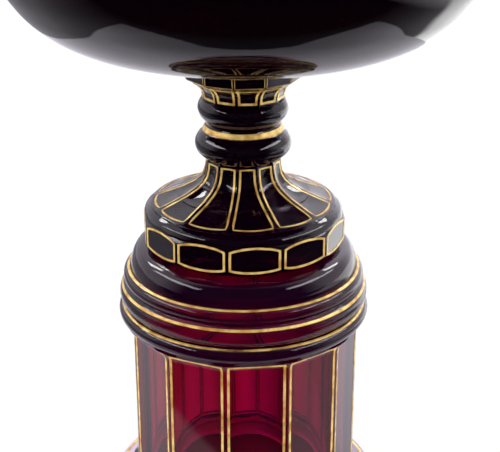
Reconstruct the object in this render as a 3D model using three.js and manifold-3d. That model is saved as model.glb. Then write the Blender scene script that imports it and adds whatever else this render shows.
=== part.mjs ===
// A wide footed glass bowl standing loose on a hollow, twelve-sided glass pedestal. The glass is
// deep ruby throughout and every cut panel is outlined in gilding. Millimetres, Z up, the base
// ring on Z = 0, the axis of symmetry on Z and one flat side of the drum facing -Y.
import * as THREE from 'three';
import { mergeVertices } from 'three/addons/utils/BufferGeometryUtils.js';
import Module from 'manifold-3d';

// Driving dimensions
const SIDES = 12;                 // flat sides on every cut section
const STEP = (2 * Math.PI) / SIDES;
const ROUND = 36;                 // segments of a turned section
const BOWL_ROUND = 40;
const GAP = 0.3;                  // seam between neighbouring glass sections

const BASE_R = 71.3;              // edge of the base ring
const BASE_TOP = 9.6;
const BORE_R = 53.5;              // round bore of the drum

const DRUM_R = 59.3;              // over the corners
const DRUM_LOW = BASE_TOP + GAP;
const DRUM_TOP = 104;

const CAP_LOW = DRUM_TOP + GAP;
const SEAT_Z = 144.6;             // flat seat on top of the cap
const SEAT_R = 51.2;
const CAP_ROOF = 135.5;           // underside of the seat, inside the cap

const FOOT_LOW = SEAT_Z + GAP;    // loose foot plate
const FOOT_TOP = 166;
const FOOT_R = 51.5;              // over its corners
const FOOT_EDGE = { r: 42.5, z: 154.4, round: 10.25 };
const FOOT_REST = 36;             // inside radius of the ground resting ring
const FOOT_RECESS = 5;

const STEM_LOW = FOOT_TOP + GAP;
const STEM_TOP = 189.9;
const KNOP_LOW = STEM_TOP + GAP;
const KNOP_TOP = 207.3;
const NECK_LOW = KNOP_TOP + GAP;
const NECK_TOP = 220.1;
const COLLAR_LOW = NECK_TOP + GAP;
const COLLAR_TOP = 235.1;
const COLLAR_R = 29.7;

const BOWL_LOW = COLLAR_TOP + GAP;
const BOWL_R = 118;
const RIM_Z = 317;
const WALL = 6.4;                 // bowl wall
const BOWL_FLOOR = 249.8;         // inside of the bowl, on the axis

const LINE = 1.5;                 // width of a gilt line round the piece
const FRAME_LINE = 1.2;
const FINE_LINE = 1.1;
const GILT = 0.35;                // thickness given to the gilding
const LIFT = 0.15;                // gilding stands this far off the glass
const RIB_LIFT = 0.3;             // and this far off the fluted stem
const DRUM_MARGIN = 1.0;          // corner of the drum to its gilt frame
const FOOT_MARGIN = 0.8;
const FLUTE_MARGIN = 1.45;        // ridge of a flute to the middle of its gilt line

// Materials
function finish(name, color, roughness, metalness) {
  const material = new THREE.MeshStandardMaterial({ color, roughness, metalness });
  material.name = name;
  return material;
}
const thickGlass = finish('thick ruby glass', 0x1c0612, 0.06, 0);
const wallGlass = finish('ruby glass wall', 0x6a0826, 0.06, 0);
const stemGlass = finish('ruby glass stem', 0x2a0718, 0.06, 0);
const gilding = finish('burnished gilding', 0xd8a94a, 0.32, 1);

const root = new THREE.Group();
root.name = 'footed_glass_centrepiece';

function add(name, geometry, material) {
  const mesh = new THREE.Mesh(geometry, material);
  mesh.name = name;
  root.add(mesh);
}

// A solid turned about Z from [radius, height] pairs that run anticlockwise round the section
function turned(outline, segments = ROUND, start = 0) {
  const points = outline.map(([r, z]) => new THREE.Vector2(r, z));
  const geometry = new THREE.LatheGeometry(points, segments, start);
  geometry.rotateX(Math.PI / 2);
  return geometry;
}

// The same with twelve flat sides, one of them facing -Y; radii are over the corners
function twelveSided(outline) {
  return turned(outline, SIDES, STEP / 2);
}

// The outline of a section, closed on itself, when it doesn't start on the axis
function closed(outline) {
  return [...outline, outline[0]];
}

// Points along a circular arc in the section, angles in degrees
function arc(r, z, radius, from, to, steps) {
  return Array.from({ length: steps + 1 }, (_, i) => {
    const a = THREE.MathUtils.degToRad(from + ((to - from) * i) / steps);
    return [r + radius * Math.cos(a), z + radius * Math.sin(a)];
  });
}

function spun(geometry, angle) {
  return geometry.clone().rotateZ(angle);
}

function meshFrom(positions, index) {
  const geometry = new THREE.BufferGeometry();
  geometry.setAttribute('position', new THREE.Float32BufferAttribute(positions, 3));
  geometry.setIndex(index);
  geometry.computeVertexNormals();
  return geometry;
}

// Solids for the two pieces that are cut or joined
const wasm = await Module();
wasm.setup();

function toSolid(source) {
  const bare = source.clone();
  bare.deleteAttribute('normal');
  bare.deleteAttribute('uv');
  const merged = mergeVertices(bare, 1e-4);
  const all = merged.index.array;
  const kept = [];
  for (let i = 0; i < all.length; i += 3) {
    const [a, b, c] = [all[i], all[i + 1], all[i + 2]];
    if (a !== b && b !== c && c !== a) kept.push(a, b, c);
  }
  return new wasm.Manifold(new wasm.Mesh({
    numProp: 3,
    vertProperties: Float32Array.from(merged.getAttribute('position').array),
    triVerts: Uint32Array.from(kept),
  }));
}

function fromSolid(solid) {
  const mesh = solid.getMesh();
  return meshFrom(Array.from(mesh.vertProperties), Array.from(mesh.triVerts));
}

// A gilt line running round the piece: tilt is the slope of the glass below it, in degrees
// down and outward from the horizontal
function giltRing(r, z, tilt, width = LINE, segments = ROUND) {
  const a = THREE.MathUtils.degToRad(tilt);
  const at = (along, up) => [
    r + along * Math.cos(a) + up * Math.sin(a),
    z - along * Math.sin(a) + up * Math.cos(a),
  ];
  const half = width / 2;
  const section = [at(half, LIFT), at(half, LIFT + GILT), at(-half, LIFT + GILT), at(-half, LIFT)];
  return turned(closed(section), segments);
}

// A flat gilt frame standing on a plane that faces -Y: outlines are [x, z] points
function giltFrame(outer, inner, apothem) {
  const shape = new THREE.Shape(outer.map(([x, z]) => new THREE.Vector2(x, z)));
  shape.holes.push(new THREE.Path(inner.map(([x, z]) => new THREE.Vector2(x, z))));
  const geometry = new THREE.ExtrudeGeometry(shape, { depth: GILT, bevelEnabled: false });
  geometry.rotateX(Math.PI / 2);
  geometry.translate(0, -apothem - LIFT, 0);
  return geometry;
}

// A closed gilt outline on curved glass: a flat strip swept along points with their surface
// normals and mitred at the corners
function giltLoop(points, normals, width, lift) {
  const count = points.length;
  const positions = [];
  const index = [];
  for (let i = 0; i < count; i++) {
    const normal = normals[i].clone().normalize();
    const before = points[i].clone().sub(points[(i + count - 1) % count]).normalize();
    const after = points[(i + 1) % count].clone().sub(points[i]).normalize();
    const left = normal.clone().cross(before).normalize();
    const right = normal.clone().cross(after).normalize();
    const mitre = left.clone().add(right).multiplyScalar(width / 2 / (1 + left.dot(right)));
    for (const [side, up] of [[1, lift], [1, lift + GILT], [-1, lift + GILT], [-1, lift]]) {
      const corner = points[i].clone().addScaledVector(mitre, side).addScaledVector(normal, up);
      positions.push(...corner.toArray());
    }
  }
  for (let i = 0; i < count; i++) {
    const here = 4 * i;
    const next = 4 * ((i + 1) % count);
    for (let k = 0; k < 4; k++) {
      const m = (k + 1) % 4;
      index.push(here + k, next + m, next + k);
      index.push(here + k, here + m, next + m);
    }
  }
  return meshFrom(positions, index);
}

function addRound(name, geometry) {
  for (let k = 0; k < SIDES; k++) {
    add(`${name}_${String(k + 1).padStart(2, '0')}`, spun(geometry, k * STEP), gilding);
  }
}

// Base ring: a rounded foot flange, open in the middle
function baseRing() {
  return turned(closed([
    [BORE_R + 2.5, 0], [BASE_R - 2, 0], [BASE_R - 0.6, 0.7], [BASE_R, 2.2], [BASE_R, 4.4],
    [BASE_R - 0.8, 6], [BASE_R - 3, 7.1], [DRUM_R + 5.5, 7.9], [DRUM_R + 1.8, BASE_TOP],
    [BORE_R, BASE_TOP], [BORE_R, 2.5],
  ]));
}

// Drum: flat cut sides outside, a round bore inside
function drumBody() {
  const shape = new THREE.Shape();
  for (let k = 0; k < SIDES; k++) {
    const a = STEP * (k + 0.5);
    shape[k === 0 ? 'moveTo' : 'lineTo'](DRUM_R * Math.sin(a), DRUM_R * Math.cos(a));
  }
  const bore = new THREE.Path();
  bore.absarc(0, 0, BORE_R, 0, 2 * Math.PI);
  shape.holes.push(bore);
  const depth = DRUM_TOP - DRUM_LOW;
  const geometry = new THREE.ExtrudeGeometry(shape, { depth, bevelEnabled: false, curveSegments: ROUND / 2 });
  geometry.translate(0, 0, DRUM_LOW);
  return geometry;
}

// Cap: three swelling ribs under a plain shoulder and a flat seat, hollow like a dome below
function ribbedCap() {
  const lowRib = arc(60.35, 110.16, 4.08, -52, 84, 4);
  const middleRib = arc(56.66, 119.89, 7.04, -40, 60, 3);
  const upperRib = arc(57.36, 129.03, 4.17, -30, 84, 3);
  return turned([
    [0, CAP_ROOF], [30, CAP_ROOF], [42, 133], [50, 126], [BORE_R, 112], [BORE_R, CAP_LOW],
    [60.9, CAP_LOW], ...lowRib, ...middleRib, ...upperRib,
    [57.5, 136.4], [56.8, 138.9], [55.6, 141.4], [53.7, 143.6], [SEAT_R, SEAT_Z], [0, SEAT_Z],
  ]);
}

// Foot plate: a disc with a half-round edge cut by a twelve-sided prism, so that each cut face
// has straight sides and a bowed top and bottom
function footPlate() {
  const edge = FOOT_EDGE;
  const disc = turned([
    [0, FOOT_LOW + FOOT_RECESS], [FOOT_REST - 3, FOOT_LOW + FOOT_RECESS], [FOOT_REST, FOOT_LOW],
    ...arc(edge.r, edge.z, edge.round, -68, 43, 6),
    [49.4, 162.9], [48.3, 164.7], [46.6, FOOT_TOP], [0, FOOT_TOP],
  ]);
  const low = FOOT_LOW - 5;
  const high = FOOT_TOP + 5;
  const prism = twelveSided([[0, low], [FOOT_R, low], [FOOT_R, high], [0, high]]);
  return fromSolid(toSolid(disc).intersect(toSolid(prism)));
}

// Stem: a trumpet of concave flutes between ridges. Each row gives the radius over the
// ridges, the height and how deep the flute is hollowed.
const FLUTE_ROWS = [
  [46.3, FOOT_TOP + 0.5, 0], [46, 167.1, 0.3], [43.3, 167.9, 1.6], [36.5, 170.7, 2.2],
  [30.5, 173.2, 2.3], [25.2, 176.2, 2.1], [22, 179, 1.8], [20.2, 181.8, 1.5],
  [19.2, 185.5, 1.3], [18.8, STEM_TOP, 1.15],
];
const FLUTE_COLUMNS = 5;

function fluteRow(u) {
  const k = Math.min(Math.floor(u), FLUTE_ROWS.length - 2);
  const mix = (i) => THREE.MathUtils.lerp(FLUTE_ROWS[k][i], FLUTE_ROWS[k + 1][i], u - k);
  return { ridge: mix(0), z: mix(1), hollow: mix(2) };
}

// A point of the fluted surface: a is the angle from one ridge towards the next, u the row
function flutePoint(a, u) {
  const { ridge, z, hollow } = fluteRow(u);
  const r = ridge - hollow * Math.sin((Math.PI * a) / STEP);
  const turn = a - Math.PI / 2 - STEP / 2;
  return new THREE.Vector3(r * Math.cos(turn), r * Math.sin(turn), z);
}

function marginAngle(u) {
  return FLUTE_MARGIN / fluteRow(u).ridge;
}

function stemBody() {
  const positions = [];
  const index = [];
  const columns = SIDES * FLUTE_COLUMNS;
  const pushRow = (u, drop) => {
    const margin = marginAngle(u);
    for (let k = 0; k < columns; k++) {
      const c = k % FLUTE_COLUMNS;
      const inner = (STEP - 2 * margin) / (FLUTE_COLUMNS - 2);
      const p = flutePoint(c === 0 ? 0 : margin + inner * (c - 1), u);
      p.z -= drop;
      p.applyAxisAngle(new THREE.Vector3(0, 0, 1), STEP * Math.floor(k / FLUTE_COLUMNS));
      positions.push(...p.toArray());
    }
  };
  pushRow(0, fluteRow(0).z - STEM_LOW);
  for (let u = 0; u < FLUTE_ROWS.length; u++) pushRow(u, 0);
  const rows = FLUTE_ROWS.length + 1;
  const below = rows * columns;
  const above = below + 1;
  positions.push(0, 0, STEM_LOW, 0, 0, STEM_TOP);
  for (let k = 0; k < columns; k++) {
    const n = (k + 1) % columns;
    index.push(below, n, k);
    index.push(above, (rows - 1) * columns + k, (rows - 1) * columns + n);
    for (let row = 0; row < rows - 1; row++) {
      const a = row * columns;
      const b = a + columns;
      index.push(a + k, a + n, b + n);
      index.push(a + k, b + n, b + k);
    }
  }
  return meshFrom(positions, index);
}

// Two knops between stem and collar
function lowerKnop() {
  return turned([
    [0, KNOP_LOW], [18.9, KNOP_LOW], [20.2, 192], [22.4, 194.4], [23.35, 197.4], [23.1, 200],
    [21.8, 202.5], [20.2, 204.3], [18.9, KNOP_TOP], [0, KNOP_TOP],
  ]);
}

function upperKnop() {
  return turned([
    [0, NECK_LOW], [18.75, NECK_LOW], [19.5, 210], [21.1, 212.7], [21.85, 215.5], [21.5, 217.9],
    [20.5, NECK_TOP], [0, NECK_TOP],
  ]);
}

// Collar: flat sides flaring to a plate under the bowl
const COLLAR_SIDE = [[20.6, 222.4], [21.3, 225.6], [23.6, 228.2], [27.9, 231]];

function collarBody() {
  return twelveSided([
    [0, COLLAR_LOW], [20.6, COLLAR_LOW], ...COLLAR_SIDE, [29.2, 231.8], [COLLAR_R, COLLAR_TOP],
    [0, COLLAR_TOP],
  ]);
}

// Bowl: wide and shallow, its sides rising to a plain rim
const BOWL_SIDE = [
  [46, 241.7], [60, 245.1], [69, 247.9], [77.7, 251.1], [85.5, 254.1], [91.5, 257.2],
  [96.6, 260.3], [100.7, 263.4], [104.1, 266.5], [106.9, 269.7], [110.2, 274.4], [113.2, 280],
  [115.8, 287], [117.4, 294], [BOWL_R, 301], [117.7, 309], [116.4, RIM_Z - 1.6],
];

// The inside of the wall at one point of the outline
function wallPoint(outline, i) {
  const before = outline[Math.max(i - 1, 0)];
  const after = outline[Math.min(i + 1, outline.length - 1)];
  const dr = after[0] - before[0];
  const dz = after[1] - before[1];
  const scale = WALL / Math.hypot(dr, dz);
  return [outline[i][0] - dz * scale, outline[i][1] + dr * scale];
}

function bowlBody() {
  const inside = [];
  for (let i = BOWL_SIDE.length - 2; i > 0; i -= 2) inside.push(wallPoint(BOWL_SIDE, i));
  return turned([
    [0, BOWL_LOW], [29.2, BOWL_LOW], [29.9, 237.2], ...BOWL_SIDE,
    [115.2, RIM_Z], [113.2, RIM_Z - 0.2], ...inside, [44, BOWL_FLOOR + 0.2], [0, BOWL_FLOOR],
  ], BOWL_ROUND);
}

// Gilt frame on each flat side of the drum
function drumFrame() {
  const half = DRUM_R * Math.sin(STEP / 2) - DRUM_MARGIN;
  const low = DRUM_LOW + 6;
  const high = DRUM_TOP - 0.8;
  const box = (inset) => [
    [-half + inset, low + inset], [half - inset, low + inset],
    [half - inset, high - inset], [-half + inset, high - inset],
  ];
  return giltFrame(box(0), box(FRAME_LINE), DRUM_R * Math.cos(STEP / 2));
}

// Gilt frame on each cut face of the foot plate, following its straight and bowed edges
function footFrame() {
  const edge = FOOT_EDGE;
  const apothem = FOOT_R * Math.cos(STEP / 2);
  const steps = 4;
  const outline = (inset) => {
    const half = FOOT_R * Math.sin(STEP / 2) - FOOT_MARGIN - inset;
    const points = [];
    for (const sign of [1, -1]) {
      for (let i = 0; i <= steps; i++) {
        const x = sign * half * (1 - (2 * i) / steps);
        const across = Math.hypot(apothem, x) - edge.r;
        const rise = Math.sqrt(edge.round ** 2 - across ** 2) - 0.4 - inset;
        points.push([x, edge.z + sign * rise]);
      }
    }
    return points;
  };
  return giltFrame(outline(0), outline(FRAME_LINE), apothem);
}

// Gilt outline of one flute: up both ridges, across the top and closed by an arc below
function petalOutline() {
  const top = FLUTE_ROWS.length - 1.3;
  const low = 2;
  const bow = 0.72;
  const ridgeRows = [7.5, 6, 5, 4, 3, low];
  const across = (u, t) => marginAngle(u) + (STEP - 2 * marginAngle(u)) * t;
  const path = [
    [across(top, 0), top],
    ...ridgeRows.map((u) => [across(u, 0), u]),
    ...[0.2, 0.4, 0.6, 0.8].map((t) => [across(low, t), low - bow * Math.sin(Math.PI * t)]),
    ...[...ridgeRows].reverse().map((u) => [across(u, 1), u]),
    [across(top, 1), top],
    [across(top, 0.5), top],
  ];
  const points = path.map(([a, u]) => flutePoint(a, u));
  const normals = path.map(([a, u]) => {
    const round = flutePoint(a + 0.01, u).sub(flutePoint(a - 0.01, u));
    const upward = flutePoint(a, u + 0.05).sub(flutePoint(a, u - 0.05));
    return round.cross(upward);
  });
  return giltLoop(points, normals, FINE_LINE, RIB_LIFT);
}

// Collar gilding, one continuous drawing: a line round under the plate, and on each side of
// the neck a cup hanging from it
function collarGilding() {
  const c = Math.cos(STEP / 2);
  const stations = [[20.6, 221.5], [21.35, 225.6], [23.6, 228.2], [26.9, 230.35]];
  const last = stations.length - 1;
  const normalAt = (k) => {
    const [r0, z0] = stations[Math.max(k - 1, 0)];
    const [r1, z1] = stations[Math.min(k + 1, last)];
    return new THREE.Vector3(0, z0 - z1, (r0 - r1) * c);
  };
  const half = (r) => r * Math.sin(STEP / 2) - 1.35;
  const order = [...stations.keys()];
  const rightSide = order.map((k) => [k, 1]);
  const leftSide = [...order].reverse().map((k) => [k, -1]);
  const path = [...rightSide, ...leftSide];
  const points = path.map(([k, side]) => {
    const [r, z] = stations[k];
    return new THREE.Vector3(side * half(r), -r * c, z);
  });
  const cup = toSolid(giltLoop(points, path.map(([k]) => normalAt(k)), FINE_LINE, LIFT));

  const [r, z] = stations[last];
  const slope = new THREE.Vector2(r - stations[last - 1][0], z - stations[last - 1][1]);
  const along = new THREE.Vector2(slope.x * c, slope.y).normalize();
  const at = (s, up) => [r + (along.x * s + along.y * up) / c, z + along.y * s - along.x * up];
  const section = [at(-0.6, LIFT), at(-0.6, LIFT + GILT), at(0.6, LIFT + GILT), at(0.6, LIFT)];
  let drawing = toSolid(twelveSided(closed(section)));
  for (let k = 0; k < SIDES; k++) drawing = drawing.add(cup.rotate([0, 0, (360 / SIDES) * k]));
  return fromSolid(drawing);
}

// Pedestal
add('base_ring', baseRing(), thickGlass);
add('drum', drumBody(), wallGlass);
add('ribbed_cap', ribbedCap(), thickGlass);
add('gilt_base_line', giltRing(BASE_R - 1.95, 6.6, 26.6, 1.8), gilding);
add('gilt_cap_line_lower', giltRing(62.2, 113.7, 28.6), gilding);
add('gilt_cap_line_middle', giltRing(62.3, 124.1, 52.5), gilding);
add('gilt_cap_line_upper', giltRing(58.9, 132.9, 21.7), gilding);
addRound('gilt_drum_frame', drumFrame());

// Footed bowl, which lifts off
add('foot_plate', footPlate(), thickGlass);
add('stem', stemBody(), stemGlass);
add('lower_knop', lowerKnop(), stemGlass);
add('upper_knop', upperKnop(), stemGlass);
add('collar', collarBody(), stemGlass);
add('bowl', bowlBody(), thickGlass);
addRound('gilt_foot_frame', footFrame());
addRound('gilt_petal', petalOutline());
add('gilt_neck_band', giltRing(19.7, 205.5, 66, 3.2), gilding);
add('gilt_collar', collarGilding(), gilding);
add('gilt_rim_line', giltRing(117.15, 311.7, 78.5, 2.2, BOWL_ROUND), gilding);

export default root;
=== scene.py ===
import math

import bpy
from mathutils import Matrix, Vector, noise


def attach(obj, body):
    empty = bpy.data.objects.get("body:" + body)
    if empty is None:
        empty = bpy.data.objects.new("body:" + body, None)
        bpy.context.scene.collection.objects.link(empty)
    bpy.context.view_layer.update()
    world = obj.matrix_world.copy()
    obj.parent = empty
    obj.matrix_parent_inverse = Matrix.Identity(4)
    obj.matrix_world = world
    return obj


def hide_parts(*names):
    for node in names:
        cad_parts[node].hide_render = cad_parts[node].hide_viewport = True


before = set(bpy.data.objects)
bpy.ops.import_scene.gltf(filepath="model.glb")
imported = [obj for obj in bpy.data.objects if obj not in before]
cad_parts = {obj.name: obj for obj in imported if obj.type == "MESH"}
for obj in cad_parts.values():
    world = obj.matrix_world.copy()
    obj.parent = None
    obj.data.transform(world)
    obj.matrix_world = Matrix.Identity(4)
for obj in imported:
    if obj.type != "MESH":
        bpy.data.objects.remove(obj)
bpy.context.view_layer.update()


# The camera stands a little over half a metre in front of the piece, higher than the rim of the bowl,
# and looks down at the foot. The piece is turned a few degrees from square to it.
MM = 0.001
PICTURE_WIDTH = 500                 # pixels
FOCAL_LENGTH = 1200.9               # in the same pixels
SENSOR_WIDTH = 36.0
NEAREST_SEEN = 10 * MM
LOOK_DOWN = math.radians(22.138)
TURN = math.radians(6.6)            # the piece against the camera, about Z
DISTANCE = 566.2 * MM               # from the axis, on the level
CAMERA_HEIGHT = 382.5 * MM
AXIS_OFFSET = -3.4 * MM             # the axis lies left of the middle of the picture

camera_place = Matrix.Rotation(-TURN, 4, "Z") @ Vector((-AXIS_OFFSET, -DISTANCE, CAMERA_HEIGHT))
bpy.ops.object.camera_add(location=camera_place, rotation=(math.pi / 2 - LOOK_DOWN, 0, -TURN))
camera = bpy.context.object
camera.data.sensor_width = SENSOR_WIDTH
camera.data.lens = FOCAL_LENGTH / PICTURE_WIDTH * SENSOR_WIDTH
camera.data.clip_start = NEAREST_SEEN
bpy.context.scene.camera = camera
bpy.context.scene.view_settings.view_transform = "Standard"


# The piece stands on white paper near the front edge of a table, under soft lamps. Glass shows its
# surroundings, so it mirrors that table, and round it a room that is dark towards the front, grey at
# the sides and bright far to the right.
FLOOR_SIZE = 8
FLOOR_GAP = 0.3 * MM                # the paper lies this far below the foot, so no two faces coincide
TABLE_TURN = math.radians(3.5)
TABLE_LEFT = -0.250
TABLE_RIGHT = 0.272
TABLE_FRONT = -0.112
EDGE_BLUR = 4 * MM
SHADE_RADIUS = 60 * MM              # inside the pedestal the paper has only light that passed the ruby
PAPER_GLOW = 0.85                   # the share of the paper's white that no shadow takes away
BEHIND_RIGHT_GLOW = 2.2
PAPER = "#F2F0EE"
WHITE = "#FFFFFF"
COOL = "#F9F5FF"                    # the light of the room, as the glass mirrors it
FLOOR_CHANGES = {                   # axis, where a change starts and ends, value before and after it
    "left edge": ("X", TABLE_LEFT - EDGE_BLUR, TABLE_LEFT, 0, 1),
    "right edge": ("X", TABLE_RIGHT + EDGE_BLUR, TABLE_RIGHT, 0, 1),
    "front edge": ("Y", TABLE_FRONT - EDGE_BLUR, TABLE_FRONT, 0, 1),
    "table": ("Y", -0.10, 0.02, 0.62, 1.1),
    "room": ("Y", -0.17, 0.20, 0.008, 0.42),
    "far out": ("X", 0.42, 0.52, 0, 1),
    "not in front": ("Y", -0.42, -0.25, 0, 1),
    "beside": ("X", 0.26, 0.27, 0, 1),
    "behind": ("Y", 0.14, 0.20, 0, 1),
    # the paper seen through the glass is painted dimmer right of the axis, a painted shade
    "seen through": ("X", -0.005, 0.035, 1.0, 0.45),
}


def colour(code):
    """The linear value of an sRGB hex code."""
    parts = [int(code[i:i + 2], 16) / 255 for i in (1, 3, 5)]
    return [c / 12.92 if c <= 0.04045 else ((c + 0.055) / 1.055) ** 2.4 for c in parts] + [1]


def node(tree, kind, inputs, **settings):
    """Adds a node. An input is a value, an output socket, or a node that gives its first output."""
    made = tree.nodes.new(kind)
    for name, value in settings.items():
        setattr(made, name, value)
    for name, value in inputs.items():
        if isinstance(value, bpy.types.Node):
            value = value.outputs[0]
        if isinstance(value, bpy.types.NodeSocket):
            tree.links.new(value, made.inputs[name])
        else:
            made.inputs[name].default_value = value
    return made


bpy.ops.mesh.primitive_plane_add(
    size=FLOOR_SIZE, location=(0, 0, -FLOOR_GAP), rotation=(0, 0, -TABLE_TURN),
)
floor = bpy.context.object
floor.name = "floor"

paper = bpy.data.materials.new("white paper floor")
paper.use_nodes = True
tree = paper.node_tree
tree.nodes.clear()
place = node(tree, "ShaderNodeTexCoord", {}).outputs["Object"]
xyz = node(tree, "ShaderNodeSeparateXYZ", {"Vector": place}).outputs
rays = node(tree, "ShaderNodeLightPath", {}).outputs
change = {}
for name, (axis, start, end, before, after) in FLOOR_CHANGES.items():
    change[name] = node(
        tree, "ShaderNodeMapRange",
        {"Value": xyz[axis], "From Min": start, "From Max": end, "To Min": before, "To Max": after},
    )
within = {}
for name, first, second in (
    ("sides", "left edge", "right edge"), ("far right", "far out", "not in front"),
    ("behind right", "beside", "behind"),
):
    within[name] = node(
        tree, "ShaderNodeMath", {0: change[first], 1: change[second]}, operation="MULTIPLY",
    )
on_table = node(
    tree, "ShaderNodeMath", {0: within["sides"], 1: change["front edge"]}, operation="MULTIPLY",
)
from_axis = node(tree, "ShaderNodeVectorMath", {0: place}, operation="LENGTH").outputs["Value"]
outside = node(
    tree, "ShaderNodeMapRange",
    {
        "Value": from_axis, "From Min": SHADE_RADIUS, "From Max": SHADE_RADIUS + EDGE_BLUR,
        "To Min": 0.0, "To Max": PAPER_GLOW,
    },
)
glow = {}
for name, light, strength in (
    ("paper", WHITE, 1.0), ("seen through", WHITE, change["seen through"]),
    ("table", COOL, change["table"]), ("room", COOL, change["room"]), ("far right", COOL, 1.0),
    ("behind right", WHITE, BEHIND_RIGHT_GLOW),
):
    glow[name] = node(tree, "ShaderNodeEmission", {"Color": colour(light), "Strength": strength})

# A ray that came through glass counts as glossy too, so it is taken off the mirrored ones.
mirrored_ray = node(
    tree, "ShaderNodeMath", {0: rays["Is Glossy Ray"], 1: rays["Is Transmission Ray"]},
    operation="SUBTRACT", use_clamp=True,
)
lit = node(tree, "ShaderNodeBsdfDiffuse", {"Color": colour(PAPER)})
room = node(tree, "ShaderNodeMixShader", {0: within["far right"], 1: glow["room"], 2: glow["far right"]})
room = node(tree, "ShaderNodeMixShader", {0: within["behind right"], 1: room, 2: glow["behind right"]})
mirrored = node(tree, "ShaderNodeMixShader", {0: on_table, 1: room, 2: glow["table"]})
through = node(tree, "ShaderNodeMixShader", {0: outside, 1: lit, 2: glow["seen through"]})
through = node(tree, "ShaderNodeMixShader", {0: change["front edge"], 1: room, 2: through})
direct = node(tree, "ShaderNodeMixShader", {0: outside, 1: lit, 2: glow["paper"]})
shown = node(tree, "ShaderNodeMixShader", {0: rays["Is Camera Ray"], 1: lit, 2: direct})
shown = node(tree, "ShaderNodeMixShader", {0: rays["Is Transmission Ray"], 1: shown, 2: through})
shown = node(tree, "ShaderNodeMixShader", {0: mirrored_ray, 1: shown, 2: mirrored})
node(tree, "ShaderNodeOutputMaterial", {"Surface": shown})
floor.data.materials.append(paper)

# The upper half of the room. The camera sees it plain white; in the glass it is dark towards the front
# and brightest behind on the right.
ROOM_CHANGES = {
    "front": ("Y", -0.50, 0.0, 0.03, 1.0),
    "behind": ("Y", 0.50, 0.85, 0, 1),
    "right": ("X", -0.1, 0.4, 0, 1),
}
world = bpy.data.worlds.new("studio")
bpy.context.scene.world = world
world.use_nodes = True
tree = world.node_tree
tree.nodes.clear()
direction = node(tree, "ShaderNodeTexCoord", {}).outputs["Generated"]
turned = node(
    tree, "ShaderNodeVectorRotate", {"Vector": direction, "Angle": TURN}, rotation_type="Z_AXIS",
)
xyz = node(tree, "ShaderNodeSeparateXYZ", {"Vector": turned}).outputs
rays = node(tree, "ShaderNodeLightPath", {}).outputs
change = {}
for name, (axis, start, end, before, after) in ROOM_CHANGES.items():
    change[name] = node(
        tree, "ShaderNodeMapRange",
        {"Value": xyz[axis], "From Min": start, "From Max": end, "To Min": before, "To Max": after},
    )
behind_right = node(
    tree, "ShaderNodeMath", {0: change["behind"], 1: change["right"]}, operation="MULTIPLY",
)
open_room = node(tree, "ShaderNodeMath", {0: change["front"], 1: behind_right}, operation="ADD")
in_glass = node(
    tree, "ShaderNodeMath", {0: rays["Is Glossy Ray"], 1: rays["Is Transmission Ray"]},
    operation="MAXIMUM",
)
plain = node(tree, "ShaderNodeBackground", {"Color": colour(WHITE), "Strength": 1.0})
mirrored = node(tree, "ShaderNodeBackground", {"Color": colour(COOL), "Strength": open_room})
shown = node(tree, "ShaderNodeMixShader", {0: in_glass, 1: plain, 2: mirrored})
node(tree, "ShaderNodeOutputWorld", {"Surface": shown})


# The foot of the pedestal is a pressed ring of pale, faintly violet glass with a rounded edge, ground
# flat below. The ruby drum goes down through it to the ground, and was fused to it hot.
BASE_R = 71.3
BASE_HOLE_R = 61.5
ROUND = 192                         # steps round the axis of every turned form
WELD = 0.01 * MM
SMOOTH_BELOW = 32                   # degrees between faces, above which an edge looks sharp
WAVE_SPACING = 22 * MM
WAVE_HEIGHT = 0.02 * MM
RIPPLE_SPACING = 3 * MM
RIPPLE_HEIGHT = 0.0015 * MM
BLOOM = "#C400BE"                   # the faint violet that the melt scatters back
# glass below a given height is darkened almost to black: over this height, down to this value
DARKENING_FADE = 1.5 * MM
DARKENED_VALUE = 0.06


def glass(name, tint, density, bloom, darkened_below=None):
    """Glass melted in the pot and fire-polished after cutting, its skin faintly wavy. All its colour
    is in its depth, so a thin wall glows crimson and a thick foot looks black: tint is what a short
    way through it leaves of white light. Below the given height the glass is darkened almost to black."""
    made = bpy.data.materials.new(name)
    made.use_nodes = True
    tree = made.node_tree
    tree.nodes.clear()
    at = node(tree, "ShaderNodeTexCoord", {}).outputs["Object"]
    wave = node(tree, "ShaderNodeTexNoise", {"Vector": at, "Scale": 1 / WAVE_SPACING, "Detail": 1.0})
    ripple = node(tree, "ShaderNodeTexNoise", {"Vector": at, "Scale": 1 / RIPPLE_SPACING, "Detail": 2.0})
    swell = node(
        tree, "ShaderNodeBump", {"Height": wave, "Distance": WAVE_HEIGHT, "Strength": 1.0},
    )
    skin = node(
        tree, "ShaderNodeBump",
        {"Height": ripple, "Distance": RIPPLE_HEIGHT, "Strength": 1.0, "Normal": swell},
    )
    body = node(
        tree, "ShaderNodeBsdfPrincipled",
        {
            "Base Color": colour(WHITE), "Roughness": 0.01, "IOR": 1.52, "Transmission Weight": 1.0,
            "Normal": skin,
        },
    )
    # below the given height the glass is darkened almost to black
    if darkened_below:
        height = node(tree, "ShaderNodeSeparateXYZ", {"Vector": at}).outputs["Z"]
        clear = node(
            tree, "ShaderNodeMapRange",
            {
                "Value": height, "From Min": darkened_below - DARKENING_FADE, "From Max": darkened_below,
                "To Min": DARKENED_VALUE, "To Max": 1.0,
            },
        )
        tree.links.new(clear.outputs[0], body.inputs["Base Color"])
    cloud = node(tree, "ShaderNodeBsdfDiffuse", {"Color": colour(BLOOM)})
    whole = node(tree, "ShaderNodeMixShader", {0: bloom, 1: body, 2: cloud})
    depth = node(tree, "ShaderNodeVolumeAbsorption", {"Color": colour(tint), "Density": density})
    node(tree, "ShaderNodeOutputMaterial", {"Surface": whole, "Volume": depth})
    return made


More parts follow.
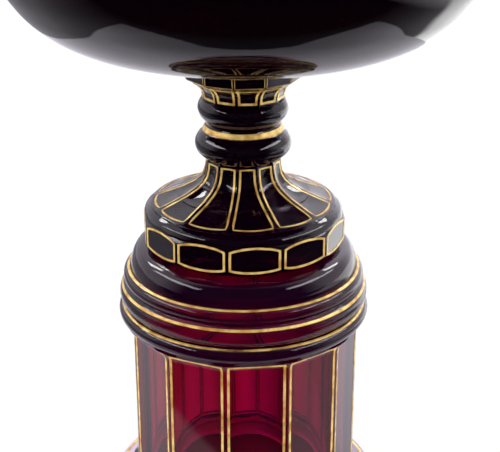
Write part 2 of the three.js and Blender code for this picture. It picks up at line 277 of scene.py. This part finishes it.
def select_only(*pieces):
    """Leaves edit mode and selects these pieces alone; the first becomes the active one."""
    if bpy.context.object and bpy.context.object.mode == "EDIT":
        bpy.ops.object.mode_set(mode="OBJECT")
    bpy.ops.object.select_all(action="DESELECT")
    for piece in pieces:
        piece.select_set(True)
    if pieces:
        bpy.context.view_layer.objects.active = pieces[0]


def flowing(points, steps=4):
    """A smooth line through points, each one kept."""
    ends = [points[0]] + list(points) + [points[-1]]
    out = []
    for a, b, c, d in zip(ends, ends[1:], ends[2:], ends[3:]):
        for k in range(steps):
            t = k / steps
            out.append(tuple(
                0.5 * (2 * q + (r - p) * t + (2 * p - 5 * q + 4 * r - s) * t * t
                       + (3 * q - p - 3 * r + s) * t ** 3)
                for p, q, r, s in zip(a, b, c, d)
            ))
    out.append(tuple(points[-1]))
    return out


def spun(name, outline, around, closed=False, turn=0.0):
    """Draws the outline point by point and spins it about the axis."""
    select_only()
    r, z = outline[0]
    bpy.ops.mesh.primitive_circle_add(vertices=3, radius=MM, location=(0, 0, 0))
    made = bpy.context.object
    made.name = name
    bpy.ops.object.mode_set(mode="EDIT")
    bpy.ops.mesh.select_mode(type="VERT")
    bpy.ops.mesh.select_all(action="SELECT")
    bpy.ops.mesh.merge(type="CENTER")
    turning = Matrix.Rotation(turn, 3, "Z")
    bpy.ops.transform.translate(value=turning @ Vector((r, 0, z)) * MM)
    for a, b in zip(outline, outline[1:]):
        move = turning @ Vector((b[0] - a[0], 0, b[1] - a[1])) * MM
        bpy.ops.mesh.extrude_vertices_move(TRANSFORM_OT_translate={"value": move})
    bpy.ops.mesh.select_all(action="SELECT")
    if closed:
        bpy.ops.mesh.edge_face_add()
        bpy.ops.mesh.delete(type="ONLY_FACE")
        bpy.ops.mesh.select_all(action="SELECT")
    bpy.ops.mesh.spin(steps=around, angle=2 * math.pi, center=(0, 0, 0), axis=(0, 0, 1))
    bpy.ops.mesh.select_all(action="SELECT")
    bpy.ops.mesh.remove_doubles(threshold=WELD)
    bpy.ops.mesh.normals_make_consistent(inside=False)
    bpy.ops.object.mode_set(mode="OBJECT")
    return made


def finished(piece, material, body, slot, *nodes, angle=SMOOTH_BELOW):
    """Smooths the piece, gives it its material and sets it in place of its CAD nodes."""
    select_only(piece)
    bpy.ops.object.transform_apply(location=True, rotation=True, scale=True)
    bpy.ops.object.shade_smooth_by_angle(angle=math.radians(angle))
    piece.data.materials.clear()
    piece.data.materials.append(material)
    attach(piece, body)
    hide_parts(*nodes)


base_outline = (
    [(BASE_HOLE_R, 0), (BASE_R - 2, 0)]
    + flowing([
        (BASE_R - 1.6, 0.1), (BASE_R - 0.6, 0.8), (BASE_R, 2.4), (BASE_R, 4.4), (BASE_R - 0.8, 6),
        (BASE_R - 3, 7.1), (64.8, 7.9), (62.6, 8.6), (BASE_HOLE_R, 9.3),
    ], 3)
)
foot_ring_glass = glass("pale violet glass, pressed", "#F0D4F2", 110, 0.03)
base = spun("base_glass", base_outline, ROUND, closed=True)
finished(base, foot_ring_glass, "pedestal", "ruby_thick", "base_ring")


# The drum is the hollow ruby wall of the pedestal: twelve flat sides cut outside, the mould's round
# bore inside, a little wider at the very bottom. Each cut runs out in a short curve at both ends.
SIDES = 12
CORNER_TURN = math.pi / SIDES       # from the middle of a flat side to its corner
DRUM_R = 59.3                       # over the corners
DRUM_APOTHEM = DRUM_R * math.cos(CORNER_TURN)
BLANK_R = 61.6                      # the round body that the sides are cut from
BORE_R = 53.5
DRUM_TOP = 104.3
OVERLAP = 0.05                      # sections of glass reach this far into each other
RUN_OUT = [                         # height, and how far out the flat sides have curved there
    (99.6, 0), (100.4, 0.1), (101.2, 0.3), (102.0, 0.65), (102.7, 1.1), (103.3, 1.6),
    (103.9, 2.3), (DRUM_TOP + OVERLAP, 3.3),
]
RUN_IN = [                          # the same at the bottom, from the top down
    (16.4, 0), (15.6, 0.15), (14.9, 0.6), (14.2, 1.4), (13.4, 2.5), (12.6, 3.5), (11.6, 4.3),
    (0.0, 4.3),
]
BORE_FLARE = [                      # how much wider the bore is, and at what height
    (4.6, -5), (4.3, -1), (3.6, 0.9), (2.2, 2.9), (0.8, 5.3), (0, 8.2),
]
BORE_END = 150                      # the cutter ends well above the drum
EDGE_SOFTENING = 0.35 * MM
SIDE_CUTS = 15                      # across each flat side, so that it can curve out
SIDE_LENGTH = 10 * MM               # a flat side is longer and wider than this, a softened edge narrower
LEVEL = 1e-6                        # heights closer than this are the same


def side_radius(point, out):
    """How far the drum reaches towards a point where its flat sides have curved out by so much."""
    off_middle = (math.atan2(point.x, -point.y) + CORNER_TURN) % (2 * CORNER_TURN) - CORNER_TURN
    return min((DRUM_APOTHEM + out) / math.cos(off_middle), BLANK_R) * MM


def select_where(piece, edges=None, faces=None):
    """Selects the edges or faces of the piece, in edit mode, whose points pass the test."""
    bpy.ops.object.mode_set(mode="EDIT")
    bpy.ops.mesh.select_mode(type="EDGE" if edges else "FACE")
    bpy.ops.mesh.select_all(action="DESELECT")
    bpy.ops.object.mode_set(mode="OBJECT")
    points = piece.data.vertices
    if edges:
        for edge in piece.data.edges:
            edge.select = edges(*(points[i].co for i in edge.vertices))
    else:
        for face in piece.data.polygons:
            face.select = faces(*(points[i].co for i in face.vertices))
    bpy.ops.object.mode_set(mode="EDIT")


select_only()
bpy.ops.mesh.primitive_cylinder_add(
    vertices=SIDES, radius=DRUM_R * MM, depth=(RUN_OUT[0][0] - RUN_IN[0][0]) * MM,
    location=(0, 0, (RUN_OUT[0][0] + RUN_IN[0][0]) / 2 * MM), rotation=(0, 0, CORNER_TURN),
)
drum = bpy.context.object
drum.name = "drum_glass"
bpy.ops.object.transform_apply(location=True, rotation=True, scale=True)
select_where(drum, edges=lambda a, b: abs(a.z - b.z) > SIDE_LENGTH)
bpy.ops.mesh.bevel(offset=EDGE_SOFTENING, segments=3, affect="EDGES")
select_where(drum, edges=lambda a, b: abs(a.z - b.z) < LEVEL and (a - b).length > SIDE_LENGTH)
bpy.ops.mesh.subdivide(number_cuts=SIDE_CUTS)
for curve in (RUN_OUT, RUN_IN):
    end = curve[0][0] * MM
    select_where(drum, faces=lambda *corners: max(abs(co.z - end) for co in corners) < LEVEL)
    for (first, near), (last, far) in zip(curve, curve[1:]):
        bpy.ops.mesh.extrude_region_move(
            TRANSFORM_OT_translate={"value": (0, 0, (last - first) * MM)},
        )
        bpy.ops.object.mode_set(mode="OBJECT")
        for point in drum.data.vertices:
            if point.select:
                point.co.xy *= side_radius(point.co, far) / side_radius(point.co, near)
        bpy.ops.object.mode_set(mode="EDIT")
bpy.ops.object.mode_set(mode="OBJECT")

bore_outline = (
    [(0, BORE_FLARE[0][1])] + [(BORE_R + wider, z) for wider, z in BORE_FLARE]
    + [(BORE_R, BORE_END), (0, BORE_END)]
)
bore = spun("bore_cutter", bore_outline, ROUND)
select_only(drum)
cut = drum.modifiers.new("bore", "BOOLEAN")
cut.operation = "DIFFERENCE"
cut.solver = "EXACT"
cut.object = bore
bpy.ops.object.modifier_apply(modifier=cut.name)
bpy.data.objects.remove(bore)
wall_glass = glass("ruby glass, thin cut wall", "#EC00C2", 1060, 0.008)
finished(drum, wall_glass, "pedestal", "ruby_wall", "drum", angle=20)


# The cap of the pedestal is heavier ruby glass, fused on the drum: three turned ribs, the lowest
# darkened almost to black low down, then a plain shoulder up to the flat seat on which the footed bowl
# stands. Below it is hollow, like a shallow dome.
SEAT_Z = 144.6
# the cap's glass is darkened almost to black below this height
DARKENED_TOP = 112.8 * MM


def arc(r, z, radius, first, last, steps):
    """Points of a circular arc of the outline; angles in degrees from level."""
    angles = [math.radians(first + (last - first) * k / steps) for k in range(steps + 1)]
    return [(r + radius * math.cos(a), z + radius * math.sin(a)) for a in angles]


cap_dome = [(0, 135.5), (16, 135.4), (30, 134.8), (42, 131.6), (50, 124), (BORE_R, 112)]
cap_shoulder = [
    (57.7, 134), (57.5, 136.4), (56.8, 138.9), (55.6, 141.4), (53.7, 143.4), (50.6, SEAT_Z),
]
cap_outline = (
    flowing(cap_dome, 5)
    + [(BORE_R, DRUM_TOP - OVERLAP), (60.9, DRUM_TOP - OVERLAP)]
    + arc(60.35, 110.16, 4.08, -58, 84, 20)
    + arc(56.66, 119.89, 7.04, -38, 58, 20)
    + arc(57.36, 129.03, 4.17, -30, 84, 18)
    + flowing(cap_shoulder, 5)
    + [(0, SEAT_Z)]
)
cap_glass = glass("ruby glass, thick", "#ED00DA", 860, 0.012, darkened_below=DARKENED_TOP)
cap = spun("cap_glass", cap_outline, ROUND)
finished(cap, cap_glass, "pedestal", "ruby_thick", "ribbed_cap")


# The foot plate of the bowl is a thick ruby disc with a half-round edge, cut by twelve flat faces, so
# that each face is barrel-shaped. Below it is hollowed and rests on a ground ring.
FOOT_LOW = 144.9
FOOT_TOP = 166.3
FOOT_HOLLOW = 5
FOOT_R = 51.5                       # over the corners
FOOT_APOTHEM = FOOT_R * math.cos(CORNER_TURN)
EDGE_R = 42.5                       # where the half-round edge has its centre
EDGE_Z = 154.4
EDGE_ROUND = 10.25
foot_outline = (
    [(0, FOOT_LOW + FOOT_HOLLOW), (33, FOOT_LOW + FOOT_HOLLOW), (36, FOOT_LOW)]
    + arc(EDGE_R, EDGE_Z, EDGE_ROUND, -68, 43, 26)
    + flowing([(50.2, 161.5), (49.9, 162.8), (48.9, 164.6), (46.6, FOOT_TOP)])
    + [(0, FOOT_TOP)]
)
stem_glass = glass("ruby glass, heavy stem", "#EA00DE", 1400, 0.005)
foot = spun("foot_glass", foot_outline, ROUND)
bpy.ops.object.mode_set(mode="EDIT")
for k in range(SIDES):
    angle = k * 2 * math.pi / SIDES
    outward = Vector((math.sin(angle), -math.cos(angle), 0))
    bpy.ops.mesh.select_all(action="SELECT")
    bpy.ops.mesh.bisect(
        plane_co=outward * (FOOT_APOTHEM * MM), plane_no=outward, use_fill=True, clear_outer=True,
    )
bpy.ops.object.mode_set(mode="OBJECT")
finished(foot, stem_glass, "footed_bowl", "ruby_thick", "foot_plate", angle=25)


# The stem is a trumpet of solid ruby glass with twelve concave flutes ground between ridges. They are
# deepest low down and die out where the stem spreads into the foot plate.
FLUTES = [                          # radius over the ridges, height, depth of the flute
    (46.4, FOOT_TOP - OVERLAP, 0), (46.2, 167.0, 0.25), (43.3, 167.9, 1.6), (36.5, 170.7, 2.2),
    (30.5, 173.2, 2.3), (25.2, 176.2, 2.1), (22, 179, 1.8), (20.2, 181.8, 1.5),
    (19.2, 185.5, 1.3), (18.8, 190.2, 1.15),
]
FLUTE_STEPS = 6
CORE = 15 * MM                      # only the middle of a flat end lies nearer to the axis than this


def with_ends(outline):
    """The outline with a flat end below and above it, out from the axis."""
    return [(0, outline[0][1])] + outline + [(0, outline[-1][1])]


flute_rows = flowing(FLUTES, FLUTE_STEPS)
stem = spun("stem_glass", with_ends([(r, z) for r, z, _ in flute_rows]), ROUND)
depth_at = {round(z, 3): depth for _, z, depth in flute_rows}
for point in stem.data.vertices:
    radius = point.co.xy.length
    depth = depth_at.get(round(point.co.z / MM, 3), 0) * MM
    if radius > CORE and depth:
        around = (math.atan2(point.co.y, point.co.x) / (2 * math.pi) * SIDES + 0.5) % 1
        inward = 1 - depth * math.sin(math.pi * around) / radius
        point.co.x *= inward
        point.co.y *= inward
finished(stem, stem_glass, "footed_bowl", "ruby_stem", "stem", angle=25)


# Two turned knops of the same heavy glass join the stem to the collar, fused in the fire. The lower
# one is the taller and fuller.
LOWER_KNOP = [
    (18.6, 190.15), (20.5, 191.6), (22.9, 194.0), (23.9, 197.0), (23.6, 199.8), (22.2, 202.3),
    (20.3, 204.3), (18.8, 207.2), (18.6, 207.65),
]
UPPER_KNOP = [
    (18.55, 207.6), (19.4, 209.5), (21.3, 212.0), (22.35, 214.9), (22.1, 217.5), (20.6, 220.45),
]
for name, curve, steps in (("lower_knop", LOWER_KNOP, 6), ("upper_knop", UPPER_KNOP, 5)):
    knop = spun(f"{name}_glass", with_ends(flowing(curve, steps)), ROUND)
    finished(knop, stem_glass, "footed_bowl", "ruby_stem", name)


# The collar, of the same glass, has twelve flat sides ground on it that flare from the upper knop to a
# plate. The bowl was set on that plate hot.
COLLAR_LOW = 220.4
COLLAR_TOP = 237.2
COLLAR_SOFTENING = 0.25 * MM
IN_LINE = 0.01                      # radians; a smaller angle counts as none
collar_outline = (
    [(0, COLLAR_LOW), (20.6, COLLAR_LOW)]
    + flowing([(20.6, 222.4), (21.3, 225.6), (23.6, 228.2), (27.9, 231)], 3)
    + [(29.2, 231.8), (29.7, COLLAR_TOP), (0, COLLAR_TOP)]
)


def up_a_corner(a, b):
    """True for an edge that runs up one of the collar's corners."""
    return (
        min(a.xy.length, b.xy.length) > CORE
        and abs(math.sin(SIDES / 2 * (math.atan2(a.y, a.x) - CORNER_TURN))) < IN_LINE
        and abs(math.sin((math.atan2(a.y, a.x) - math.atan2(b.y, b.x)) / 2)) < IN_LINE
    )


collar = spun("collar_glass", collar_outline, SIDES, turn=CORNER_TURN)
select_where(collar, edges=up_a_corner)
bpy.ops.mesh.bevel(offset=COLLAR_SOFTENING, segments=2, affect="EDGES")
bpy.ops.object.mode_set(mode="OBJECT")
finished(collar, stem_glass, "footed_bowl", "ruby_stem", "collar", angle=15)


# The bowl is ruby glass blown wide and shallow, its wall rising steeply to a plain rim that is rounded
# in the fire. Its colour is so deep that it looks black but for what it mirrors.
BOWL_LOW = 237.1
RIM_Z = 317.0
RIM_R = 114.1                       # to the middle of the rim's thickness
RIM_ROUND = 2.5
bowl_outside = flowing([
    (29.9, 237.2), (46, 241.4), (60, 245.1), (70, 247.75), (77, 249.75), (83.5, 252.15),
    (90.5, 255.7), (96.5, 259.75), (102.3, 264.9), (107.3, 270.8), (113.2, 280), (117.0, 291),
    (118, 301), (117.7, 309), (116.6, RIM_Z - 2.4),
], 6)
bowl_inside = flowing([
    (111.6, RIM_Z - 2.4), (112, 308), (111.9, 296), (109.2, 285), (103.6, 276), (95, 268.5),
    (84, 262.8), (66, 257.0), (46, 252.5), (22, 250.2), (0, 249.8),
], 6)
bowl_outline = (
    [(0, BOWL_LOW), (29.8, BOWL_LOW)] + bowl_outside
    + arc(RIM_R, RIM_Z - RIM_ROUND, RIM_ROUND, 0, 180, 10)[1:-1] + bowl_inside
)
bowl_glass = glass("ruby glass, bowl", "#E900D4", 2600, 0.002)
bowl = spun("bowl_glass", bowl_outline, ROUND)
finished(bowl, bowl_glass, "footed_bowl", "ruby_thick", "bowl")


# Gilding, a film of gold brushed on the glass, fired and burnished. On the pedestal it is a line on the
# foot ring's shoulder, one on each rib, and a frame round each flat side of the drum that follows the
# side where it curves out at the top.
FILM = 0.11                         # how far the gilding stands proud, thicker than the real film
SUNK = 0.04                         # and how deep it is set into the glass
PATCH_SIZE = 1 / 220                # metres, about 4.5 mm
STROKE_SIZE = 1 / 900               # about 1.1 mm, coarser than real brush marks, so that it shows
STROKE_RELIEF = 0.06 * MM
THIN_GOLD = "#BE8838"
FULL_GOLD = "#FCDA82"
BRUSHED_LINE = [                    # part of the width from the middle, and height over the glass
    (0.5, -0.14), (0.46, 0.0), (0.25, FILM * 0.8), (0, FILM), (-0.25, FILM * 0.8), (-0.46, 0.0),
    (-0.5, -0.14), (0, -0.12),
]
RING_WAVER = 0.09 * MM              # how far a ring strays from level, slowly and in small strokes
RING_TREMOR = 0.05 * MM
RING_WAVES = 90                     # slow wavers in a metre; the small strokes come four times as often
FRAME_WAVER = 0.10                  # the same for the line of a frame, in millimetres
FRAME_TREMOR = 0.06
FRAME_WAVES = 0.35                  # in a millimetre
FRAME_STROKES = 1.3
ELSEWHERE = Vector((9, 9, 9))       # where the waver is read again for the other direction
BASE_LINE = (BASE_R - 3.2, 7.15, 20, 2.0)       # radius, height, slope in degrees, width
RIB_LINES = {
    "lower": (62.2, 113.7, 28.6, 1.5), "middle": (62.3, 124.1, 52.5, 1.5),
    "upper": (58.9, 132.9, 21.7, 1.5),
}
DRUM_FRAME = (DRUM_R * math.sin(CORNER_TURN) - 1.0, 16.5, 103.2, 1.25)  # half width, low, high, line

# The gold is warm, a little brown where it is thin, with fine strokes along and across.
gilding = bpy.data.materials.new("burnished gilding")
gilding.use_nodes = True
tree = gilding.node_tree
tree.nodes.clear()
place = node(tree, "ShaderNodeTexCoord", {}).outputs["Object"]
patches = node(tree, "ShaderNodeTexNoise", {"Vector": place, "Scale": 1 / PATCH_SIZE, "Detail": 4.0})
strokes = node(tree, "ShaderNodeTexNoise", {"Vector": place, "Scale": 1 / STROKE_SIZE, "Detail": 3.0})
tone = node(tree, "ShaderNodeValToRGB", {"Fac": patches})
for stop, position, shade in zip(tone.color_ramp.elements, (0.32, 0.62), (THIN_GOLD, FULL_GOLD)):
    stop.position = position
    stop.color = colour(shade)
relief = node(
    tree, "ShaderNodeBump", {"Height": strokes, "Distance": STROKE_RELIEF, "Strength": 1.0},
)
burnish = node(
    tree, "ShaderNodeMapRange",
    {"Value": patches, "From Min": 0.3, "From Max": 0.7, "To Min": 0.40, "To Max": 0.26},
)
gold = node(
    tree, "ShaderNodeBsdfPrincipled",
    {"Base Color": tone, "Metallic": 0.35, "Roughness": burnish, "Normal": relief},
)
node(tree, "ShaderNodeOutputMaterial", {"Surface": gold})


def painted_ring(name, line, body, replaced):
    """A brushed line round the piece, domed to lie on swelling glass of its slope."""
    r, z, slope, width = line
    a = math.radians(slope)
    outline = [
        (
            r + along * width * math.cos(a) + up * math.sin(a),
            z - along * width * math.sin(a) + up * math.cos(a),
        )
        for along, up in BRUSHED_LINE
    ]
    made = spun(name, outline, ROUND, closed=True)
    for point in made.data.vertices:
        at = point.co * RING_WAVES
        point.co.z += RING_WAVER * noise.noise(at) + RING_TREMOR * noise.noise(at * 4)
    finished(made, gilding, body, "gilding", replaced)


def painted_outline(name, half, low, high, line, surface, spacing=2.2):
    """A brushed outline: a frame in the flat, cut finely, then laid on the glass by surface."""
    select_only()
    bpy.ops.mesh.primitive_plane_add(
        size=1, location=(0, 0, (low + high) / 2 * MM), rotation=(math.pi / 2, 0, 0),
    )
    made = bpy.context.object
    made.name = name
    made.scale = (2 * half * MM, (high - low) * MM, 1)
    bpy.ops.object.transform_apply(location=True, rotation=True, scale=True)
    bpy.ops.object.mode_set(mode="EDIT")
    bpy.ops.mesh.select_mode(type="FACE")
    bpy.ops.mesh.select_all(action="SELECT")
    bpy.ops.mesh.inset(thickness=line * MM)
    bpy.ops.mesh.delete(type="FACE")
    for across, first, last in ((Vector((0, 0, 1)), low, high), (Vector((1, 0, 0)), -half, half)):
        cuts = max(int((last - first) / spacing), 2)
        for k in range(1, cuts):
            bpy.ops.mesh.select_all(action="SELECT")
            at = first + (last - first) * k / cuts
            bpy.ops.mesh.bisect(plane_co=across * at * MM, plane_no=across)
    bpy.ops.object.mode_set(mode="OBJECT")
    for point in made.data.vertices:
        x, z = point.co.x / MM, point.co.z / MM
        at = Vector((x, z, len(name)))
        x += (
            FRAME_WAVER * noise.noise(at * FRAME_WAVES) + FRAME_TREMOR * noise.noise(at * FRAME_STROKES)
        )
        z += FRAME_WAVER * noise.noise(at * FRAME_WAVES + ELSEWHERE)
        point.co = Vector(surface(x, z)) * MM
    thick = made.modifiers.new("film", "SOLIDIFY")
    thick.thickness = (FILM + SUNK) * MM
    thick.offset = FILM / (FILM + SUNK) * 2 - 1
    bpy.ops.object.modifier_apply(modifier=thick.name)
    return made


def copied(piece):
    """A copy of the piece with its own mesh."""
    select_only(piece)
    bpy.ops.object.duplicate()
    return bpy.context.object


def each_side(first, body, replaced):
    """Sets the piece on each of the twelve sides."""
    name = first.name
    for k in range(SIDES):
        piece = copied(first) if k < SIDES - 1 else first
        side = (k + 1) % SIDES
        piece.rotation_euler = (0, 0, 2 * CORNER_TURN * side)
        piece.name = f"{name}_{side + 1:02d}"
        finished(piece, gilding, body, "gilding", f"{replaced}_{side + 1:02d}")


def along_table(rows, at):
    """The second value of a table's rows where the first is this, even between the rows."""
    for low, high in zip(rows, rows[1:]):
        if at <= high[0] or high is rows[-1]:
            part = (at - low[0]) / (high[0] - low[0])
            return low[1] + (high[1] - low[1]) * max(part, 0)


painted_ring("base_line", BASE_LINE, "pedestal", "gilt_base_line")
for rib, line in RIB_LINES.items():
    painted_ring(f"cap_line_{rib}", line, "pedestal", f"gilt_cap_line_{rib}")
drum_frame = painted_outline(
    "drum_gilding", *DRUM_FRAME, lambda x, z: (x, -DRUM_APOTHEM - along_table(RUN_OUT, z), z),
)
each_side(drum_frame, "pedestal", "gilt_drum_frame")


# Gilding on the foot plate, brushed on and fired: a frame on each cut face, its top and bottom bowed
# like the face.
FOOT_FRAME = (FOOT_R * math.sin(CORNER_TURN) - 0.9, 148.0, 160.4, 1.15)
FOOT_FRAME_MARGIN = 0.4             # from the frame to the top and bottom of the cut face


def banded(x, half, wide, line):
    """Moves the outer band of a frame from half to wide without changing the band's own width."""
    inner = half - line
    if abs(x) <= inner:
        return x * (wide - line) / inner
    return math.copysign(wide - half + abs(x), x)


def on_foot_face(x, z):
    half, low, high, line = FOOT_FRAME
    across = math.hypot(FOOT_APOTHEM, x) - EDGE_R
    rise = math.sqrt(EDGE_ROUND ** 2 - across ** 2) - FOOT_FRAME_MARGIN
    middle = (low + high) / 2
    return x, -FOOT_APOTHEM, EDGE_Z + banded(z - middle, (high - low) / 2, rise, line)


foot_frame = painted_outline("foot_gilding", *FOOT_FRAME, on_foot_face, 1.2)
each_side(foot_frame, "footed_bowl", "gilt_foot_frame")


# Gilding on the stem, brushed on and fired: an outline in each flute like a long petal, along both of
# its ridges and rounded below.
PETAL = (4.0, 2.35, 8.7, 1.0)       # half its width, its lowest and highest row of the stem, its line
PETAL_MARGIN = 0.95                 # from the line to the ridge
PETAL_BOW = 1.05                    # rows of the stem that its middle hangs below its sides
BOW_REACH = 2.5                     # rows over which the bow fades upwards
ROW = 6.0                           # a row of the stem, drawn this tall in the flat


def on_flute(x, z):
    half, low, high, line = PETAL
    row = z / ROW
    bow = PETAL_BOW * math.sqrt(max(1 - (x / half) ** 2, 0)) * max(1 - (row - low) / BOW_REACH, 0)
    row -= bow
    k = min(max(int(row), 0), len(FLUTES) - 2)
    ridge, height, hollow = (a + (b - a) * (row - k) for a, b in zip(FLUTES[k], FLUTES[k + 1]))
    wide = ridge * CORNER_TURN - PETAL_MARGIN
    angle = banded(x, half, wide, line) / ridge
    inward = ridge - hollow * math.cos(angle / CORNER_TURN * math.pi / 2)
    return inward * math.sin(angle), -inward * math.cos(angle), height


petal = painted_outline(
    "petal_gilding", PETAL[0], PETAL[1] * ROW, PETAL[2] * ROW, PETAL[3], on_flute, 0.8,
)
each_side(petal, "footed_bowl", "gilt_petal")


# Gilding on the upper parts, brushed on and fired: a broad band in the neck between the knops, thin
# outlines on and below the collar's plate, a cup on each of its flat sides, and a line under the rim.
NECK_BAND = (19.65, 205.5, 66, 3.2)             # radius, height, slope in degrees, width
RIM_LINE = (117.2, 311.7, 78.5, 2.2)
CUP = (3.3, 221.4, 231.6, 1.15)                 # half width, low, high, line
PLATE_PANEL = (6.6, 231.6, 236.8, 0.26)
UNDER_PLATE = (6.6, 228.9, 229.7, 0.2)
CUP_END = 230.3                     # above this the cups run on unseen into the plate
PANEL_SPACING = 0.9
COLLAR_SIDE = [                     # height, and radius over the corners
    (220.4, 20.6), (222.4, 20.6), (225.6, 21.3), (228.2, 23.6), (230.5, 27.1), (231.2, 28.2),
    (231.9, 29.2), (237.4, 29.7),
]


def on_collar(panel, margin):
    """How a panel is laid on the collar, its line this far from the corners."""
    def surface(x, z):
        r = along_table(COLLAR_SIDE, min(z, CUP_END) if panel is CUP else z)
        wide = r * math.sin(CORNER_TURN) - margin
        return banded(x, panel[0], wide, panel[3]), -r * math.cos(CORNER_TURN), z
    return surface


painted_ring("neck_band", NECK_BAND, "footed_bowl", "gilt_neck_band")
painted_ring("rim_line", RIM_LINE, "footed_bowl", "gilt_rim_line")
collar_lines = []
for name, panel, margin in (
    ("collar_gilding", CUP, 0.75), ("plate_gilding", PLATE_PANEL, 0.5),
    ("under_plate_gilding", UNDER_PLATE, 0.3),
):
    first = painted_outline(name, *panel, on_collar(panel, margin), PANEL_SPACING)
    for k in range(SIDES):
        piece = copied(first)
        piece.rotation_euler = (0, 0, 2 * CORNER_TURN * k)
        collar_lines.append(piece)
    bpy.data.objects.remove(first)
select_only(*collar_lines)
bpy.ops.object.transform_apply(location=True, rotation=True, scale=True)
bpy.ops.object.join()
collar_lines[0].name = "collar_drawing"
finished(collar_lines[0], gilding, "footed_bowl", "gilding", "gilt_collar")


# Soft lamps stand round the piece: a large one above, a long low one on each side, and two small ones
# behind, whose light glints on the turned edges.
LAMPS = [                           # place, height of what it aims at, width, height, watts
    ("top_lamp", (0.0, 0.2, 1.5), 0.15, 1.2, 1.2, 8),
    ("left_lamp", (-1.0, -0.10, 0.80), 0.15, 1.3, 0.18, 3.8),
    ("right_lamp", (0.95, -0.30, 0.80), 0.15, 1.3, 0.18, 3.8),
    ("left_rim_lamp", (-0.69, 0.86, 1.02), 0.2, 0.30, 0.30, 2.8),
    ("right_rim_lamp", (0.86, 0.68, 1.02), 0.2, 0.30, 0.30, 2.8),
]
for name, place, aim, width, height, power in LAMPS:
    select_only()
    towards = Vector((0, 0, aim)) - Vector(place)
    turn = towards.to_track_quat("-Z", "Y").to_euler()
    bpy.ops.object.light_add(type="AREA", location=place, rotation=turn)
    lamp = bpy.context.object
    lamp.name = name
    lamp.data.shape = "RECTANGLE"
    lamp.data.size = width
    lamp.data.size_y = height
    lamp.data.energy = power
